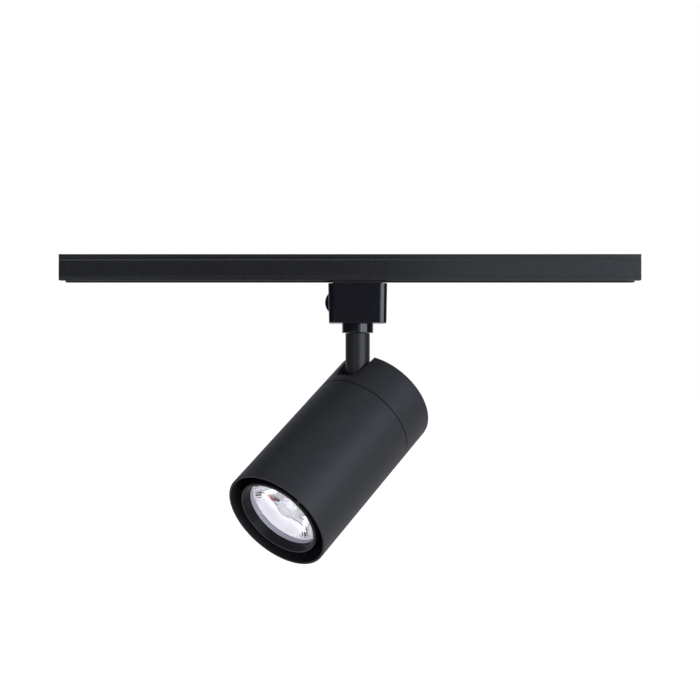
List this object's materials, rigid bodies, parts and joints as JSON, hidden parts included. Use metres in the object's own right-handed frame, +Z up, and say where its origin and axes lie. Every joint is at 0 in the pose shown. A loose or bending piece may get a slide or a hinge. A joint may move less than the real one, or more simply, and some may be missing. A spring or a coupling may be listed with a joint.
{
  "type": "track spotlight",
  "caption": "Black cylinder spotlight on a stem, hung from an adapter that slides and locks in a length of lighting track, with pan and tilt.",
  "frame": {"origin": "centre of the track's ceiling face", "axes": "+X along the track, +Z up into the ceiling, -Y the side that the head is turned towards"},
  "size_m": [0.42, 0.1476, 0.2198],
  "materials": {
    "track_black": "satin black powder coat",
    "liner_plastic": "matt moulded insulator",
    "copper": "bright drawn copper",
    "gloss_black": "gloss black moulding",
    "steel": "zinc plated",
    "lead_insulation": "silicone insulated lead",
    "satin_black": "satin black",
    "head_black": "fine textured black powder coat",
    "washer_nylon": "natural nylon",
    "bare_aluminium": "sheet aluminium",
    "white_plastic": "white moulded plastic",
    "board_green": "solder resist",
    "transformer_tape": "polyester tape",
    "capacitor_sleeve": "shrunk sleeve",
    "lamp_lead": "red insulated lead",
    "sink_black": "black anodised",
    "thermal_pad": "grey silicone pad",
    "led_white": "white ceramic board",
    "phosphor": "yellow phosphor",
    "matte_black": "matt black moulding",
    "lens_clear": "clear moulded optic"
  },
  "bodies": {
    "track": {"track_channel": "track_black", "front_liner": "liner_plastic", "rear_liner": "liner_plastic", "front_conductor": "copper", "rear_conductor": "copper"},
    "adapter": {"adapter_front_shell": "gloss_black", "adapter_rear_shell": "gloss_black", "shell_screws": "steel", "contact_carrier": "liner_plastic", "line_contact": "copper", "neutral_contact": "copper", "ground_contact": "copper", "adapter_leads": "lead_insulation", "wheel_axle": "steel", "stem_collar": "gloss_black"},
    "lock_wheel": {"lock_wheel": "gloss_black"},
    "lock_plunger": {"lock_plunger": "steel"},
    "stem": {"stem_tube": "satin_black", "swivel_washer": "steel", "swivel_nut": "steel", "stem_leads": "lead_insulation"},
    "head": {"rear_cap": "head_black", "pivot_screw": "steel", "pivot_nut": "steel", "friction_washers": "washer_nylon", "bulkhead": "bare_aluminium", "cap_screws": "steel", "tie_rods": "steel", "driver_tray": "white_plastic", "driver_board": "board_green", "driver_transformer": "transformer_tape", "driver_capacitors": "capacitor_sleeve", "mains_leads": "lead_insulation", "lamp_leads": "lamp_lead", "heat_sink": "sink_black", "thermal_pad": "thermal_pad", "led_board": "led_white", "led_emitter": "phosphor", "led_clip": "white_plastic", "clip_screws": "steel", "lens_holder": "matte_black", "lens": "lens_clear", "lens_ring": "satin_black", "front_tube": "head_black"}
  },
  "joints": [
    {"name": "track_slide", "type": "slide", "parent": "track", "child": "adapter", "axis": [1, 0, 0], "range_m": [-0.19, 0.18]},
    {"name": "lock_wheel_turn", "type": "hinge", "parent": "adapter", "child": "lock_wheel", "pos_m": [-0.00829, 0, -0.03425], "axis": [0, 1, 0], "range_deg": [0, 43]},
    {"name": "lock_plunger_slide", "type": "slide", "parent": "adapter", "child": "lock_plunger", "axis": [0, 0, 1], "range_m": [-0.003, 0]},
    {"name": "stem_pan", "type": "hinge", "parent": "adapter", "child": "stem", "pos_m": [0.0056, 0, -0.05], "axis": [0, 0, 1], "range_deg": [-172, 172]},
    {"name": "head_tilt", "type": "hinge", "parent": "stem", "child": "head", "pos_m": [0.0056, 0, -0.0915], "axis": [-0.7455, 0.6665, 0], "range_deg": [-53.7, 36.3]}
  ],
  "couplings": [
    {"joint": "lock_wheel_turn", "follows": "lock_plunger_slide", "rad_per_m": -250}
  ]
}
